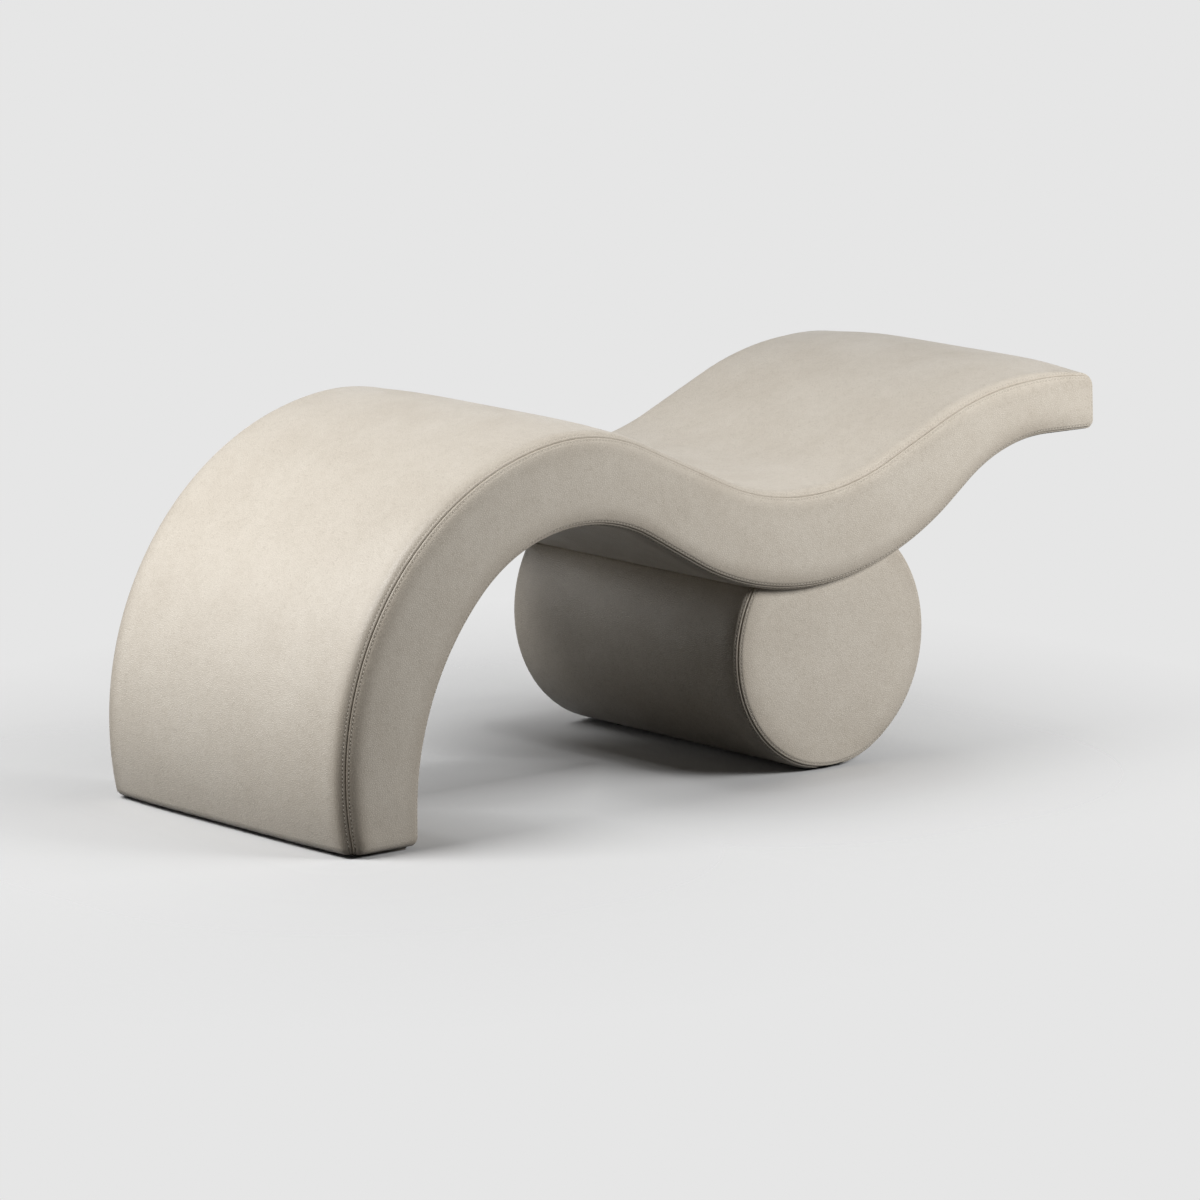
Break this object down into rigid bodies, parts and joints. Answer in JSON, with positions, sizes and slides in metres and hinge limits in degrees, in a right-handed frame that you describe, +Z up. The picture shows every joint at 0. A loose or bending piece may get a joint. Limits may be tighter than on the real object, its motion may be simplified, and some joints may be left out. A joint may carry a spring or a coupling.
{
  "type": "eyelash extension bed",
  "caption": "S-shaped upholstered lash bed with a curved leg, a raised knee, a lying dip and an overhanging head rest, carried on a drum base.",
  "frame": {"origin": "on the floor under the middle of the bed's box", "axes": "+X from the leg to the head, +Y to the left of someone lying face up with the head towards +X, +Z up"},
  "size_m": [1.834, 0.716, 0.711],
  "materials": {
    "leather": "satin, fine grain, greige",
    "foam": "open-cell foam",
    "plywood": "raw birch plywood",
    "felt": "black non-woven dust cover",
    "zinc_steel": "zinc plated",
    "nylon": "black moulded nylon"
  },
  "bodies": {
    "bed": {"base_barrel": "plywood", "base_board": "plywood", "base_bolts": "zinc_steel", "base_cover_barrel": "leather", "base_cover_end_left": "leather", "base_cover_end_right": "leather", "base_disc_centre": "plywood", "base_disc_left": "plywood", "base_disc_right": "plywood", "base_dust_cover": "felt", "base_foam_end_left": "foam", "base_foam_end_right": "foam", "base_foam_wrap": "foam", "base_stringers": "plywood", "bolt_nuts": "zinc_steel", "bolt_washers": "zinc_steel", "cover_side_left": "leather", "cover_side_right": "leather", "cover_top": "leather", "cover_underside": "leather", "cross_panels": "plywood", "deck_top": "plywood", "deck_under": "plywood", "foam_head_end": "foam", "foam_side_left": "foam", "foam_side_right": "foam", "foam_top": "foam", "foam_under": "foam", "foot_board": "plywood", "foot_dust_cover": "felt", "foot_inserts": "zinc_steel", "head_end_board": "plywood", "mount_blocks": "plywood", "rib_centre": "plywood", "rib_left": "plywood", "rib_right": "plywood", "saddle_board": "plywood", "spacer_sleeves": "zinc_steel"},
    "base_foot_back_left": {"base_foot_back_left_pad": "nylon", "base_foot_back_left_stem": "zinc_steel"},
    "base_foot_back_right": {"base_foot_back_right_pad": "nylon", "base_foot_back_right_stem": "zinc_steel"},
    "base_foot_front_left": {"base_foot_front_left_pad": "nylon", "base_foot_front_left_stem": "zinc_steel"},
    "base_foot_front_right": {"base_foot_front_right_pad": "nylon", "base_foot_front_right_stem": "zinc_steel"},
    "leg_foot_left": {"leg_foot_left_pad": "nylon", "leg_foot_left_stem": "zinc_steel"},
    "leg_foot_right": {"leg_foot_right_pad": "nylon", "leg_foot_right_stem": "zinc_steel"}
  },
  "joints": [
    {"name": "base_foot_back_left_screw", "type": "slide", "parent": "bed", "child": "base_foot_back_left", "axis": [0, 0, -1], "range_m": [0, 0.008]},
    {"name": "base_foot_back_right_screw", "type": "slide", "parent": "bed", "child": "base_foot_back_right", "axis": [0, 0, -1], "range_m": [0, 0.008]},
    {"name": "base_foot_front_left_screw", "type": "slide", "parent": "bed", "child": "base_foot_front_left", "axis": [0, 0, -1], "range_m": [0, 0.008]},
    {"name": "base_foot_front_right_screw", "type": "slide", "parent": "bed", "child": "base_foot_front_right", "axis": [0, 0, -1], "range_m": [0, 0.008]},
    {"name": "leg_foot_left_screw", "type": "slide", "parent": "bed", "child": "leg_foot_left", "axis": [0, 0, -1], "range_m": [0, 0.008]},
    {"name": "leg_foot_right_screw", "type": "slide", "parent": "bed", "child": "leg_foot_right", "axis": [0, 0, -1], "range_m": [0, 0.008]}
  ]
}
